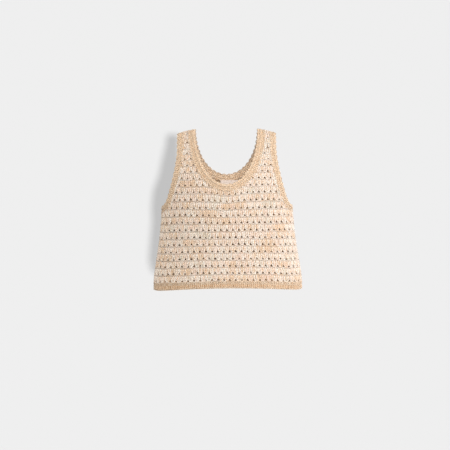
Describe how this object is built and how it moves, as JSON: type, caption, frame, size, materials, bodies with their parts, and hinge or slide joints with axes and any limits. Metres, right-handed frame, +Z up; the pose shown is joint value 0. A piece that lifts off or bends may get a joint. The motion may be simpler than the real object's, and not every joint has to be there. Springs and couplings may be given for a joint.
{
  "type": "knit tank top",
  "caption": "Cropped, sleeveless crocheted tank top with a scooped neck, scalloped borders and a straight hem band, filled out as worn.",
  "frame": {"origin": "midway between the shoulders, at the height of the straps' undersides, where the wearer carries the top", "axes": "+Z up along the body, -Y out of the front, +X to the right of a front view"},
  "size_m": [0.4094, 0.2163, 0.4413],
  "materials": {
    "body_yarn": "matt marled cotton yarn, cream flecked with tan",
    "trim_yarn": "matt cotton yarn, sand tan",
    "label": "bare woven satin ribbon"
  },
  "bodies": {
    "root": {"front_panel": "body_yarn", "back_panel": "body_yarn", "neck_trim": "trim_yarn", "armhole_trim_left": "trim_yarn", "armhole_trim_right": "trim_yarn", "hem_band": "trim_yarn", "neck_label": "label"}
  },
  "joints": []
}
